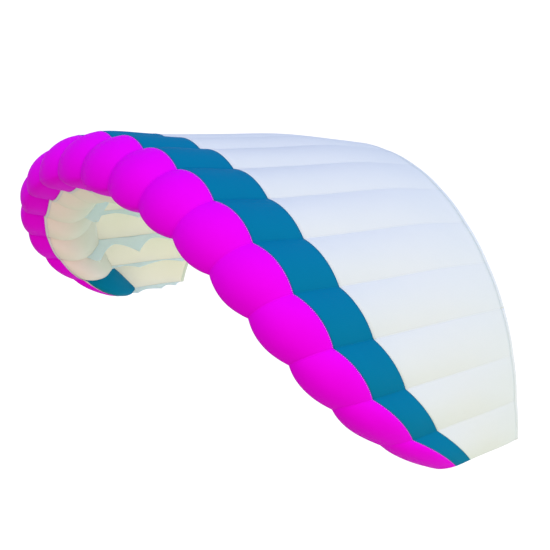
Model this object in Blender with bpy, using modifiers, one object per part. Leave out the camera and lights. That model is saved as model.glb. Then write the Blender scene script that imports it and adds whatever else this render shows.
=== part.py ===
"""Parawing: an arched, seventeen-cell kite canopy without a stiff frame.

The front third of the chord is a closed tube of cells (nose panels, upper band,
lower skin); behind it a single skin is held in shape by ribs with scalloped
free edges.  The wing flies toward -Y, +Z is up, +X is the wearer's left.
The origin is the middle of the leading edge, at the top of the arch.
"""

import math

import bpy
from mathutils import Matrix, Vector

# ---------------------------------------------------------------- dimensions
HALF_ARC = 1.491  # half of the flat span, m: with the chord law, 3.1 m2 flat
CELLS = 17
WIDTH_2, WIDTH_4 = -0.146, -0.158  # cell width against the middle cell
ARC_1, ARC_3, ARC_5 = 1.112, 0.808, -0.587  # arc angle against arc position, rad
SWEEP = (0.134, 0.227, -0.096, 0.176)  # leading edge set back, share of HALF_ARC
TAIL = (0.862, -0.416, 0.768, -0.861, 0.357)  # trailing edge, share of HALF_ARC

# Profile, in shares of the chord.
CREST_U, CREST_H = 0.108, 0.095  # where nose panel and upper band meet
BAND_U, BAND_H = 0.293, 0.074  # where upper band and main panel meet
MID_H, REAR_H = 0.058, 0.041  # height at half and at three quarters
CREST_TIP, BAND_TIP = 0.306, 0.128  # how far both seams move back at the tips
SEAM_U, SEAM_H = 0.070, -0.033  # where nose panel and lower skin meet
LOWER = ((0.115, -0.054), (0.162, -0.063), (0.213, -0.055), (0.260, -0.032),
         (0.300, 0.002), (0.333, 0.032))
LOWER_END_U = 0.352

SKIN = 0.0016
RIB = 0.0016
HEM = 0.0024
HEM_WIDTH = 0.014
ROD_R = 0.00125
GAP = 0.0006  # half of the gap between two panels
SEAM_GAP = 0.0005  # half of the gap where two sections meet
RIB_DROP = 0.0028  # rib edge below the outer face of the skin
SEAM_SHIFT = SEAM_GAP + RIB / 2  # a rib at the end of its section steps inward
SLOT = 0.0028
RIB_FOOT = 0.006  # least depth of a rib
STEPS = 4  # faces across one cell

# Free edges of the ribs.  Every second rib carries the lines on three tabs; the
# ribs between them, and both end ribs, are shallow and only hold the skin.
# A tip is (chord position, height, half width in m); an arch top lies behind each.
LINE_RIBS = (2, 4, 6, 8, 9, 11, 13, 15)
LINE_TIPS = ((0.272, -0.092, 0.012), (0.535, -0.072, 0.006), (0.800, -0.042, 0.006))
LINE_ARCHES = ((0.426, 0.012), (0.674, 0.012), (0.915, 0.004))
END_TIPS = ((0.320, -0.055, 0.003), (0.650, -0.055, 0.003), (0.855, -0.050, 0.003))
END_ARCHES = ((0.480, -0.010), (0.760, -0.010), (0.930, -0.006))
# On the ribs between, heights are depths under the upper skin.
PLAIN_TIPS = ((0.364, 0.030, 0.002), (0.550, 0.060, 0.002), (0.910, 0.046, 0.002))
PLAIN_ARCHES = ((0.435, 0.020), (0.760, 0.012), (0.960, 0.014))
ARCH_POWER = 1.6  # how pointed the tips are
# From this row of the lower skin on, a rib of each kind passes through it.
SLOT_ROWS = {"line": 3, "end": 4, "plain": 6}

SECTIONS = {  # first and last rib
    "left_tip": (0, 3),
    "left_mid": (3, 6),
    "centre": (6, 11),
    "right_mid": (11, 14),
    "right_tip": (14, 17),
}
HINGES = {  # each outer section: the seam rib it folds at, and what it hangs on
    "left_mid": (6, "centre"),
    "left_tip": (3, "left_mid"),
    "right_mid": (11, "centre"),
    "right_tip": (14, "right_mid"),
}
HINGE_H = 0.100  # fold axis just above the crest, share of the seam rib's chord

# ------------------------------------------------------------------ geometry


def arc_angle(s):
    return ARC_1 * s + ARC_3 * s**3 + ARC_5 * s**5


def arc_point(s, steps=120):
    """(x, z) of the arch at arc position s, from 0 in the middle to 1 at the tip."""
    x = z = 0.0
    ds = abs(s) / steps
    for i in range(steps):
        angle = arc_angle((i + 0.5) * ds)
        x += math.cos(angle) * ds
        z -= math.sin(angle) * ds
    return math.copysign(x, s) * HALF_ARC, z * HALF_ARC


def rib_positions():
    """Arc position of each rib, from +1 at the left tip to -1 at the right tip."""
    share = [abs(i - (CELLS - 1) / 2) / ((CELLS - 1) / 2) for i in range(CELLS)]
    widths = [1 + WIDTH_2 * c**2 + WIDTH_4 * c**4 for c in share]
    total = sum(widths)
    places = [1.0]
    for width in widths:
        places.append(places[-1] - 2 * width / total)
    return places


class Rib:
    def __init__(self, s):
        self.s = s
        x, z = arc_point(s)
        self.angle = math.copysign(arc_angle(abs(s)), s)
        lead = sum(k * abs(s) ** (2 * i + 2) for i, k in enumerate(SWEEP))
        tail = sum(k * abs(s) ** (2 * i) for i, k in enumerate(TAIL))
        self.nose = Vector((x, lead * HALF_ARC, z))
        self.chord = (tail - lead) * HALF_ARC
        self.out = Vector((math.sin(self.angle), 0.0, math.cos(self.angle)))
        self.span = Vector((math.cos(self.angle), 0.0, -math.sin(self.angle)))
        self.crest_u = CREST_U * (1 + CREST_TIP * s**4)
        self.band_u = BAND_U * (1 + BAND_TIP * s**4)
        # Where the leading edge is swept, a sheet is thicker along the rib's plane.
        sweep = sum((2 * i + 2) * k * abs(s) ** (2 * i + 1) for i, k in enumerate(SWEEP))
        self.lean = math.hypot(1.0, sweep)
        self.drop = RIB_DROP + SKIN * (self.lean - 1)

    def at(self, u, h):
        return self.nose + Vector((0, u * self.chord, 0)) + self.out * (h * self.chord)


RIBS = [Rib(s) for s in rib_positions()]


def hermite(a, b, u):
    (u0, h0, m0), (u1, h1, m1) = a, b
    w = u1 - u0
    t = (u - u0) / w
    return ((2 * t**3 - 3 * t**2 + 1) * h0 + (t**3 - 2 * t**2 + t) * m0 * w
            + (-2 * t**3 + 3 * t**2) * h1 + (t**3 - t**2) * m1 * w)


def top_height(rib, u):
    """Height of the upper surface behind the crest."""
    knots = ((rib.crest_u, CREST_H, 0.0), (rib.band_u, BAND_H, -0.11),
             (0.5, MID_H, -0.082), (0.75, REAR_H, -0.11), (1.0, 0.0, -0.18))
    for a, b in zip(knots, knots[1:]):
        if u <= b[0] or b is knots[-1]:
            return hermite(a, b, u)
    return 0.0


def nose_point(rib, f):
    """Nose outline: f = -1 at the lower seam, 0 at the leading edge, 1 at the crest."""
    if f >= 0:
        t = f * math.pi / 2
        return rib.crest_u * (1 - math.cos(t)), CREST_H * math.sin(t)
    t = -f
    p1, p2, p3 = (0.0, -0.016), (SEAM_U / 2, -0.020), (SEAM_U, SEAM_H)
    b1, b2, b3 = 3 * t * (1 - t) ** 2, 3 * t * t * (1 - t), t**3
    return (b1 * p1[0] + b2 * p2[0] + b3 * p3[0], b1 * p1[1] + b2 * p2[1] + b3 * p3[1])


NOSE_F = (-1.0, -0.62, -0.25, 0.12, 0.38, 0.62, 0.82, 1.0)
BAND_F = (0.0, 0.34, 0.67, 1.0)
MAIN_F = (0.0, 0.2, 0.42, 0.62, 0.82, 1.0)


def nose_rows(rib):
    """Profile points (u, h) of the nose panel, from the lower seam over the top."""
    rows = [nose_point(rib, f) for f in NOSE_F]
    g = GAP / rib.chord
    rows[0] = (rows[0][0] - g, rows[0][1] + 0.4 * g)
    rows[-1] = (rows[-1][0] - g, rows[-1][1])
    return rows


def band_rows(rib):
    g = GAP / rib.chord
    us = [rib.crest_u + g + f * (rib.band_u - rib.crest_u - 2 * g) for f in BAND_F]
    return [(u, top_height(rib, u)) for u in us]


def main_rows(rib):
    g = GAP / rib.chord
    end = 1.0 - HEM_WIDTH / rib.chord - g
    us = [rib.band_u + g + f * (end - rib.band_u - g) for f in MAIN_F]
    return [(u, top_height(rib, u)) for u in us]


def hem_rows(rib):
    g = GAP / rib.chord
    us = (1.0 - HEM_WIDTH / rib.chord + g, 1.0)
    return [(u, top_height(rib, u)) for u in us]


def lower_rows(rib):
    g = GAP / rib.chord
    end_h = top_height(rib, LOWER_END_U * 1.0) - (SKIN + 0.0022) / rib.chord
    return [(SEAM_U + g, SEAM_H - 0.4 * g), *LOWER, (LOWER_END_U, end_h)]


# How far a cell stands proud of its ribs, against the cell's width, and the
# direction (along the chord, outward) in which it does.
def nose_bulge(i, rows, s):
    share = (0.130, 0.125, 0.120, 0.120, 0.120, 0.122, 0.128, 0.135)[i]
    share *= 1 + (0.7, 0.7, 0.6, 0.4, 0.2, 0.0, 0.0, 0.0)[i] * s**4
    back = (0.0, 0.0, 0.0, 0.0, 0.0, 0.006, 0.016, 0.030)[i]
    a, b = rows[max(i - 1, 0)], rows[min(i + 1, len(rows) - 1)]
    du, dh = b[0] - a[0], b[1] - a[1]
    size = math.hypot(du, dh)
    return -dh / size * share + back, du / size * share


def band_bulge(i, rows, s):
    f = i / (len(rows) - 1)
    return 0.030 * (1 - f), 0.135 - 0.015 * f


def main_bulge(i, rows, s):
    return 0.0, 0.120 - 0.085 * i / (len(rows) - 1)


def hem_bulge(i, rows, s):
    return 0.0, 0.033 - 0.003 * i


def lower_bulge(i, rows, s):
    back, out = ((-0.045, -0.122), (-0.05, -0.22), (-0.02, -0.25), (0.00, -0.20),
                 (0.02, -0.12), (0.02, -0.05), (0.02, 0.03), (0.02, 0.115))[i]
    more = 1 + (0.7, 0.35, 0.0, 0.0, 0.0, 0.0, 0.0, 0.0)[i] * s**4
    return back * more, out * more


def new_object(name, data):
    obj = bpy.data.objects.new(name, data)
    PARTS.objects.link(obj)
    return obj


def make_hinges():
    """An empty for each section; those that fold have theirs on the fold's axis."""
    centre = new_object("centre_frame", None)
    hinges = {"centre": (centre, Vector((0, 0, 0)))}
    for section, (k, inner) in HINGES.items():
        rib = RIBS[k]
        parent, base = hinges[inner]
        place = rib.at(rib.crest_u, HINGE_H)
        empty = new_object(f"{section}_hinge", None)
        empty.parent = parent
        empty.location = place - base
        hinges[section] = (empty, place)
    return hinges


def hang(obj, hinge):
    """Parents an object to its section's empty and leaves it where it lies."""
    empty, place = hinge
    obj.parent = empty
    obj.matrix_parent_inverse = Matrix.Translation(-place)


def section_of_rib(k):
    if k < 6:
        return "left_tip" if k < 3 else "left_mid"
    if k > 11:
        return "right_tip" if k > 14 else "right_mid"
    return "centre"


def panel(name, first, last, rows_of, bulge_of, thickness, material, offset=-1.0,
          flip=False, slotted=False):
    """A billowed sheet over the cells between two ribs, given its thickness."""
    verts, faces, columns = [], [], []
    for cell in range(first, last):
        a, b = RIBS[cell], RIBS[cell + 1]
        rows_a, rows_b = rows_of(a), rows_of(b)
        width = (a.nose - b.nose).length
        shares = [i / STEPS for i in range(STEPS + 1)]
        starts = [len(rows_a)] * (STEPS + 3)  # row at which a strip of faces ends
        if slotted:
            shares = [0.0, SLOT * a.lean / width, *shares[1:-1],
                      1 - SLOT * b.lean / width, 1.0]
            starts[1] = SLOT_ROWS[rib_kind(cell)]
            starts[STEPS + 2] = SLOT_ROWS[rib_kind(cell + 1)]
        if cell == first and first in SEAM_RIBS:
            shares[0] = SEAM_GAP / width
        if cell == last - 1 and last in SEAM_RIBS:
            shares[-1] = 1 - SEAM_GAP / width
        if cell > first:
            shares, starts = shares[1:], starts[1:]
        for t, start in zip(shares, starts):
            column = []
            for i in range(len(rows_a)):
                pa, pb = a.at(*rows_a[i]), b.at(*rows_b[i])
                out = a.out.lerp(b.out, t).normalized()
                wide = math.hypot(pa.x - pb.x, pa.z - pb.z) * 4 * t * (1 - t)
                s = abs(a.s + (b.s - a.s) * t)
                bu, bh = (x * (1 - t) + y * t for x, y in
                          zip(bulge_of(i, rows_a, s), bulge_of(i, rows_b, s)))
                point = pa.lerp(pb, t) + Vector((0, bu * wide, 0)) + out * (bh * wide)
                column.append(len(verts))
                verts.append(point)
            columns.append((column, start))
    for (c0, _), (c1, start) in zip(columns, columns[1:]):
        for i in range(min(len(c0) - 1, start)):
            quad = (c0[i], c1[i], c1[i + 1], c0[i + 1])
            faces.append(quad[::-1] if flip else quad)
    mesh = bpy.data.meshes.new(name)
    mesh.from_pydata(verts, [], faces)
    mesh.materials.append(material)
    obj = new_object(name, mesh)
    solid = obj.modifiers.new("thickness", "SOLIDIFY")
    solid.thickness = thickness
    solid.offset = offset
    solid.use_even_offset = True
    solid.use_quality_normals = True
    mesh.shade_smooth()
    return obj


def set_in(points, distance):
    """An open outline moved to its right by a distance, with mitred corners."""
    moved = []
    for i, p in enumerate(points):
        sides = []
        for a, b in ((points[i - 1], p), (p, points[(i + 1) % len(points)])):
            if (i == 0 and a is points[-1]) or (i == len(points) - 1 and b is points[0]):
                continue
            d = Vector((b[0] - a[0], b[1] - a[1])).normalized()
            sides.append(Vector((d.y, -d.x)))
        mean = sum(sides, Vector((0, 0))).normalized()
        reach = distance / max(mean.dot(sides[0]), 0.5)
        moved.append(Vector((p[0], p[1])) + mean * reach)
    return moved


def unique(points, least=1e-4):
    kept = []
    for p in points:
        if not kept or (Vector(p) - Vector(kept[-1])).length > least:
            kept.append(Vector(p))
    return kept


def rib_kind(k):
    if k in (0, CELLS):
        return "end"
    return "line" if k in LINE_RIBS else "plain"


def rib_outline(k):
    """Closed outline of a rib in metres: along the chord, outward."""
    rib, kind = RIBS[k], rib_kind(k)
    c = rib.chord
    lower = lower_rows(rib)[:SLOT_ROWS[kind] + 1]
    over = lower[::-1] + nose_rows(rib) + band_rows(rib) + main_rows(rib)
    over = unique([(u * c, h * c) for u, h in over], 0.003)
    edge = set_in(over, rib.drop)
    # Shorten it ahead of the hem.
    stop = c - HEM_WIDTH - 0.010
    edge[-1] = edge[-2].lerp(edge[-1], (stop - edge[-2].x) / (edge[-1].x - edge[-2].x))
    front = min(range(len(edge)), key=lambda i: edge[i].x)

    def highest(x):
        """The highest that the free edge may reach under the sewn edge."""
        for a, b in zip(edge[front:], edge[front + 1:]):
            if a.x <= x <= b.x:
                return a.y + (b.y - a.y) * (x - a.x) / (b.x - a.x) - RIB_FOOT
        return edge[-1].y - RIB_FOOT

    tips, arches = {"line": (LINE_TIPS, LINE_ARCHES), "end": (END_TIPS, END_ARCHES),
                    "plain": (PLAIN_TIPS, PLAIN_ARCHES)}[kind]
    if kind == "plain":
        tips = [(u, top_height(rib, u) - d, w) for u, d, w in tips]
        arches = [(u, top_height(rib, u) - d) for u, d in arches]
    free = [Vector((edge[0].x + 0.008 * c, edge[0].y + 0.002))]
    before = None
    for (tip_u, tip_h, half), (top_u, top_h) in zip(tips, arches):
        x, y = tip_u * c, tip_h * c
        if before:
            for f in (0.25, 0.5, 0.75, 0.92):
                free.append(Vector((before.x + (x - half - before.x) * f,
                                    before.y + (y - before.y) * f**ARCH_POWER)))
        else:
            free.append(free[0].lerp(Vector((x - half, y)), 0.55) - Vector((0.002, 0.002)))
        free += [Vector((x - half, y)), Vector((x + half, y))]
        top = Vector((top_u * c, min(top_h * c, highest(top_u * c))))
        for f in (0.92, 0.75, 0.5, 0.25, 0.0):
            free.append(Vector((top.x + (x + half - top.x) * f,
                                top.y + (y - top.y) * f**ARCH_POWER)))
        before = top
    free.append(Vector((stop, edge[-1].y - RIB_FOOT)))
    return unique(list(edge) + free[::-1], 0.0008)


def rib_matrix(rib, shift):
    y = Vector((0, 1, 0))
    place = rib.nose + rib.span * shift
    rows = [(y[i], rib.out[i], rib.span[i], place[i]) for i in range(3)]
    return Matrix((*rows, (0, 0, 0, 1)))


def rib_shift(k):
    """Ribs at the wing's ends and at the seams between sections step inward."""
    if k in (0, 3, 6):
        return -SEAM_SHIFT
    if k in (17, 14, 11):
        return SEAM_SHIFT
    return 0.0


def make_rib(k, material):
    rib = RIBS[k]
    name = f"rib_{k + 1:02d}"
    curve = bpy.data.curves.new(name, "CURVE")
    curve.dimensions = "2D"
    curve.fill_mode = "BOTH"
    curve.extrude = RIB / 2
    points = rib_outline(k)
    spline = curve.splines.new("POLY")
    spline.points.add(len(points) - 1)
    for p, v in zip(spline.points, points):
        p.co = (v.x, v.y, 0, 1)
    spline.use_cyclic_u = True
    curve.materials.append(material)
    obj = new_object(name, curve)
    obj.matrix_world = rib_matrix(rib, rib_shift(k))
    return obj


def make_rod(k, material):
    """A springy rod that keeps a rib's nose round, held beside the rib."""
    rib = RIBS[k]
    name = f"nose_rod_{k + 1:02d}"
    c = rib.chord
    full = unique([(u * c, h * c) for u, h in nose_rows(rib) + band_rows(rib)[1:3]], 0.003)
    line = set_in(full, rib.drop + 0.0044)
    curve = bpy.data.curves.new(name, "CURVE")
    curve.dimensions = "3D"
    curve.bevel_depth = ROD_R
    curve.bevel_resolution = 1
    curve.use_fill_caps = True
    spline = curve.splines.new("POLY")
    spline.points.add(len(line) - 1)
    side = -1 if k <= 8 else 1
    for p, v in zip(spline.points, line):
        p.co = (v.x, v.y, side * (RIB / 2 + ROD_R + 0.0006), 1)
    curve.materials.append(material)
    obj = new_object(name, curve)
    obj.matrix_world = rib_matrix(rib, rib_shift(k))
    return obj


def make_material(name, colour, roughness, metallic=0.0):
    material = bpy.data.materials.new(name)
    material.use_nodes = True
    shader = material.node_tree.nodes["Principled BSDF"]
    shader.inputs["Base Color"].default_value = (*colour, 1.0)
    shader.inputs["Roughness"].default_value = roughness
    shader.inputs["Metallic"].default_value = metallic
    return material


# --------------------------------------------------------------------- build
for old in list(bpy.data.objects):
    bpy.data.objects.remove(old, do_unlink=True)
PARTS = bpy.data.collections.new("parawing")
bpy.context.scene.collection.children.link(PARTS)
SEAM_RIBS = (0, 3, 6, 11, 14, 17)

NOSE = make_material("nose_fabric", (0.83, 0.0, 0.81), 0.5)
BAND = make_material("band_fabric", (0.0, 0.182, 0.348), 0.5)
MAIN = make_material("main_fabric", (0.755, 0.785, 0.79), 0.5)
LOWER_FABRIC = make_material("lower_fabric", (0.80, 0.81, 0.775), 0.5)
RIB_FABRIC = make_material("rib_fabric", (0.83, 0.94, 0.98), 0.5)
HEM_TAPE = make_material("hem_tape", (0.78, 0.815, 0.82), 0.6)
ROD = make_material("rod", (0.80, 0.80, 0.76), 0.35)

SECTION_HINGES = make_hinges()
for section, (first, last) in SECTIONS.items():
    for piece in (
        panel(f"{section}_nose_panel", first, last, nose_rows, nose_bulge, SKIN, NOSE,
              flip=True),
        panel(f"{section}_upper_band", first, last, band_rows, band_bulge, SKIN, BAND,
              flip=True),
        panel(f"{section}_main_panel", first, last, main_rows, main_bulge, SKIN, MAIN,
              flip=True),
        panel(f"{section}_rear_hem", first, last, hem_rows, hem_bulge, HEM, HEM_TAPE,
              offset=-0.35, flip=True),
        panel(f"{section}_lower_skin", first, last, lower_rows, lower_bulge, SKIN,
              LOWER_FABRIC, slotted=True),
    ):
        hang(piece, SECTION_HINGES[section])

for k in range(CELLS + 1):
    hang(make_rib(k, RIB_FABRIC), SECTION_HINGES[section_of_rib(k)])
for k in range(1, CELLS):
    hang(make_rod(k, ROD), SECTION_HINGES[section_of_rib(k)])
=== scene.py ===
import json
import math

import bmesh
import bpy
import numpy as np
from mathutils import Matrix, Vector, noise


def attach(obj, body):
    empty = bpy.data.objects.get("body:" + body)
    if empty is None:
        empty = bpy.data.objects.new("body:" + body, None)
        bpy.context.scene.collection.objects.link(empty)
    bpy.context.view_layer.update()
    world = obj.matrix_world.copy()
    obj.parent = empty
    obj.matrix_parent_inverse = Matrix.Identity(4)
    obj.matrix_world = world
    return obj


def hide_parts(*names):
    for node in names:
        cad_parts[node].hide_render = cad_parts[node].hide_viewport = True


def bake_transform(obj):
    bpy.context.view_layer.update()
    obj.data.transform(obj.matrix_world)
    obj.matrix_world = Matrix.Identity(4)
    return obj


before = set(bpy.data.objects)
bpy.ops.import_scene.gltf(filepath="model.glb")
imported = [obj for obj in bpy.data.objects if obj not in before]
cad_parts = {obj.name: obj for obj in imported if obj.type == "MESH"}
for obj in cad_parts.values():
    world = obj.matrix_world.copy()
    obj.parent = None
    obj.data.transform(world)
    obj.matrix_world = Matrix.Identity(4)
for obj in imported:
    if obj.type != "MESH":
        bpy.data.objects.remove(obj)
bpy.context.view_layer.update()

# ------------------------------------------------------------------ the wing
# The same pattern as the solids: arch, ribs, profile and billow.
HALF_ARC = 1.491
CELLS = 17
WIDTH_2, WIDTH_4 = -0.146, -0.158
ARC_1, ARC_3, ARC_5 = 1.112, 0.808, -0.587
SWEEP = (0.134, 0.227, -0.096, 0.176)
TAIL = (0.862, -0.416, 0.768, -0.861, 0.357)
CREST_U, CREST_H = 0.108, 0.095
BAND_U, BAND_H = 0.293, 0.074
MID_H, REAR_H = 0.058, 0.041
CREST_TIP, BAND_TIP = 0.306, 0.128
SEAM_U, SEAM_H = 0.070, -0.033
LOWER = ((0.115, -0.054), (0.162, -0.063), (0.213, -0.055), (0.260, -0.032),
         (0.300, 0.002), (0.333, 0.032))
LOWER_END_U = 0.352
HEM_WIDTH = 0.014
RIB_FOOT = 0.006
LINE_RIBS = (2, 4, 6, 8, 9, 11, 13, 15)
LINE_TIPS = ((0.272, -0.092, 0.012), (0.535, -0.072, 0.006), (0.800, -0.042, 0.006))
LINE_ARCHES = ((0.426, 0.012), (0.674, 0.012), (0.915, 0.004))
END_TIPS = ((0.320, -0.055, 0.003), (0.650, -0.055, 0.003), (0.855, -0.050, 0.003))
END_ARCHES = ((0.480, -0.010), (0.760, -0.010), (0.930, -0.006))
PLAIN_TIPS = ((0.364, 0.030, 0.002), (0.550, 0.060, 0.002), (0.910, 0.046, 0.002))
PLAIN_ARCHES = ((0.435, 0.020), (0.760, 0.012), (0.960, 0.014))
ARCH_POWER = 1.6
SLOT_ROWS = {"line": 3, "end": 4, "plain": 6}
NOSE_F = (-1.0, -0.62, -0.25, 0.12, 0.38, 0.62, 0.82, 1.0)
MAIN_F = (0.0, 0.2, 0.42, 0.62, 0.82, 1.0)
CLOTH = 0.0005  # thickness of a skin as drawn
RIB_SHEET = 0.0007
DROP = 0.0007  # rib edge under the outer face of the skin
JOIN = 0.00002  # half of the gap between two sewn edges

SECTIONS = {
    "left_tip": (0, 3),
    "left_mid": (3, 6),
    "centre": (6, 11),
    "right_mid": (11, 14),
    "right_tip": (14, 17),
}


def arc_angle(s):
    return ARC_1 * s + ARC_3 * s**3 + ARC_5 * s**5


def arc_point(s, steps=120):
    x = z = 0.0
    ds = abs(s) / steps
    for i in range(steps):
        angle = arc_angle((i + 0.5) * ds)
        x += math.cos(angle) * ds
        z -= math.sin(angle) * ds
    return math.copysign(x, s) * HALF_ARC, z * HALF_ARC


def rib_positions():
    share = [abs(i - (CELLS - 1) / 2) / ((CELLS - 1) / 2) for i in range(CELLS)]
    widths = [1 + WIDTH_2 * c**2 + WIDTH_4 * c**4 for c in share]
    total = sum(widths)
    places = [1.0]
    for width in widths:
        places.append(places[-1] - 2 * width / total)
    return places


class Rib:
    def __init__(self, s):
        self.s = s
        x, z = arc_point(s)
        self.angle = math.copysign(arc_angle(abs(s)), s)
        lead = sum(k * abs(s) ** (2 * i + 2) for i, k in enumerate(SWEEP))
        tail = sum(k * abs(s) ** (2 * i) for i, k in enumerate(TAIL))
        self.nose = np.array((x, lead * HALF_ARC, z))
        self.chord = (tail - lead) * HALF_ARC
        self.out = np.array((math.sin(self.angle), 0.0, math.cos(self.angle)))
        self.span = np.array((math.cos(self.angle), 0.0, -math.sin(self.angle)))
        self.crest_u = CREST_U * (1 + CREST_TIP * s**4)
        self.band_u = BAND_U * (1 + BAND_TIP * s**4)

    def at(self, u, h):
        """Points for arrays of chord share and height share."""
        u, h = np.asarray(u, float)[..., None], np.asarray(h, float)[..., None]
        return (self.nose + u * self.chord * np.array((0.0, 1.0, 0.0))
                + h * self.chord * self.out)


RIBS = [Rib(s) for s in rib_positions()]


def smooth(xs, ys, x):
    """A cubic curve through points, without overshoot worth minding."""
    xs, ys, x = np.asarray(xs, float), np.asarray(ys, float), np.asarray(x, float)
    m = np.gradient(ys, xs)
    i = np.clip(np.searchsorted(xs, x) - 1, 0, len(xs) - 2)
    w = xs[i + 1] - xs[i]
    t = (x - xs[i]) / w
    return ((2 * t**3 - 3 * t**2 + 1) * ys[i] + (t**3 - 2 * t**2 + t) * m[i] * w
            + (-2 * t**3 + 3 * t**2) * ys[i + 1] + (t**3 - t**2) * m[i + 1] * w)


def top_height(rib, u):
    u = np.asarray(u, float)
    ks = ((rib.crest_u, CREST_H, 0.0), (rib.band_u, BAND_H, -0.11),
          (0.5, MID_H, -0.082), (0.75, REAR_H, -0.11), (1.0, 0.0, -0.18))
    kx = np.array([k[0] for k in ks])
    kh = np.array([k[1] for k in ks])
    km = np.array([k[2] for k in ks])
    i = np.clip(np.searchsorted(kx, u) - 1, 0, len(ks) - 2)
    w = kx[i + 1] - kx[i]
    t = (u - kx[i]) / w
    return ((2 * t**3 - 3 * t**2 + 1) * kh[i] + (t**3 - 2 * t**2 + t) * km[i] * w
            + (-2 * t**3 + 3 * t**2) * kh[i + 1] + (t**3 - t**2) * km[i + 1] * w)


def nose_curve(rib, f):
    f = np.asarray(f, float)
    q = np.clip(f, 0, 1) * math.pi / 2
    u1, h1 = rib.crest_u * (1 - np.cos(q)), CREST_H * np.sin(q)
    t = np.clip(-f, 0, 1)
    p1, p2, p3 = (0.0, -0.016), (SEAM_U / 2, -0.020), (SEAM_U, SEAM_H)
    b1, b2, b3 = 3 * t * (1 - t) ** 2, 3 * t * t * (1 - t), t**3
    u2, h2 = b1 * p1[0] + b2 * p2[0] + b3 * p3[0], b1 * p1[1] + b2 * p2[1] + b3 * p3[1]
    return np.where(f >= 0, u1, u2), np.where(f >= 0, h1, h2)


def nose_bulge(rib, f, s):
    share = smooth(NOSE_F, (0.130, 0.125, 0.120, 0.120, 0.120, 0.122, 0.128, 0.135), f)
    share = share * (1 + smooth(NOSE_F, (0.7, 0.7, 0.6, 0.4, 0.2, 0.0, 0.0, 0.0), f) * s**4)
    back = smooth(NOSE_F, (0.0, 0.0, 0.0, 0.0, 0.0, 0.006, 0.016, 0.030), f)
    lo, hi = nose_curve(rib, np.clip(f - 0.02, -1, 1)), nose_curve(rib, np.clip(f + 0.02, -1, 1))
    du, dh = hi[0] - lo[0], hi[1] - lo[1]
    size = np.hypot(du, dh)
    return -dh / size * share + back, du / size * share


def band_curve(rib, f):
    u = rib.crest_u + np.asarray(f, float) * (rib.band_u - rib.crest_u)
    return u, top_height(rib, u)


def band_bulge(rib, f, s):
    return 0.030 * (1 - f), 0.135 - 0.015 * f


def main_curve(rib, f):
    end = 1.0 - HEM_WIDTH / rib.chord
    u = rib.band_u + np.asarray(f, float) * (end - rib.band_u)
    return u, top_height(rib, u)


def main_bulge(rib, f, s):
    return 0.0 * f, 0.120 - 0.085 * smooth(MAIN_F, [i / 5 for i in range(6)], f)


def hem_curve(rib, f):
    u = 1.0 - (1 - np.asarray(f, float)) * HEM_WIDTH / rib.chord
    return u, top_height(rib, u)


def hem_bulge(rib, f, s):
    return 0.0 * f, 0.035 - 0.005 * f


def lower_knots(rib):
    end = float(top_height(rib, LOWER_END_U)) - 0.0016 / rib.chord
    points = ((SEAM_U, SEAM_H), *LOWER, (LOWER_END_U, end))
    return [p[0] for p in points], [p[1] for p in points]


def lower_curve(rib, f):
    us, hs = lower_knots(rib)
    rows = [i / 7 for i in range(8)]
    return smooth(rows, us, f), smooth(rows, hs, f)


LOWER_BULGE = ((-0.045, -0.122), (-0.05, -0.22), (-0.02, -0.25), (0.00, -0.20),
               (0.02, -0.12), (0.02, -0.05), (0.02, 0.03), (0.02, 0.115))


def lower_bulge(rib, f, s):
    rows = [i / 7 for i in range(8)]
    more = 1 + smooth(rows, (0.7, 0.35, 0.0, 0.0, 0.0, 0.0, 0.0, 0.0), f) * s**4
    return (smooth(rows, [b[0] for b in LOWER_BULGE], f) * more,
            smooth(rows, [b[1] for b in LOWER_BULGE], f) * more)


KINDS = {
    "nose": (nose_curve, nose_bulge, (-1.0, 1.0)),
    "band": (band_curve, band_bulge, (0.0, 1.0)),
    "main": (main_curve, main_bulge, (0.0, 1.0)),
    "hem": (hem_curve, hem_bulge, (0.0, 1.0)),
    "lower": (lower_curve, lower_bulge, (0.0, 1.0)),
}


def surface(kind, cell, f, t):
    """Points of a panel's outer face; f along the chord and t across the cell, same shape."""
    curve, bulge, _ = KINDS[kind]
    a, b = RIBS[cell], RIBS[cell + 1]
    f, t = np.broadcast_arrays(np.asarray(f, float), np.asarray(t, float))
    pa, pb = a.at(*curve(a, f)), b.at(*curve(b, f))
    out = a.out * (1 - t[..., None]) + b.out * t[..., None]
    out /= np.linalg.norm(out, axis=-1, keepdims=True)
    wide = np.hypot(pa[..., 0] - pb[..., 0], pa[..., 2] - pb[..., 2]) * 4 * t * (1 - t)
    s = np.abs(a.s + (b.s - a.s) * t)
    au, ah = bulge(a, f, s)
    bu, bh = bulge(b, f, s)
    back = (au * (1 - t) + bu * t) * wide
    rise = (ah * (1 - t) + bh * t) * wide
    point = pa * (1 - t[..., None]) + pb * t[..., None] + out * rise[..., None]
    point[..., 1] += back
    return point


def cell_width(cell):
    return float(np.linalg.norm(RIBS[cell].nose - RIBS[cell + 1].nose))


# ------------------------------------------------------------- mesh building
def make_mesh(name, verts, faces, uvs=None, mats=(), face_mats=None, smooth_faces=True,
              seam_uvs=None):
    mesh = bpy.data.meshes.new(name)
    mesh.from_pydata([tuple(v) for v in verts], [], faces)
    for m in mats:
        mesh.materials.append(m)
    if uvs is not None:
        index = np.zeros(len(mesh.loops), int)
        mesh.loops.foreach_get("vertex_index", index)
        for title, values in (("cloth", uvs), ("seam", seam_uvs)):
            if values is not None:
                layer = mesh.uv_layers.new(name=title)
                layer.data.foreach_set("uv", np.asarray(values, np.float32)[index].ravel())
    if face_mats is not None:
        mesh.polygons.foreach_set("material_index", np.asarray(face_mats, int))
    if smooth_faces:
        mesh.shade_smooth()
    mesh.update()
    obj = bpy.data.objects.new(name, mesh)
    bpy.context.scene.collection.objects.link(obj)
    return obj


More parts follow.
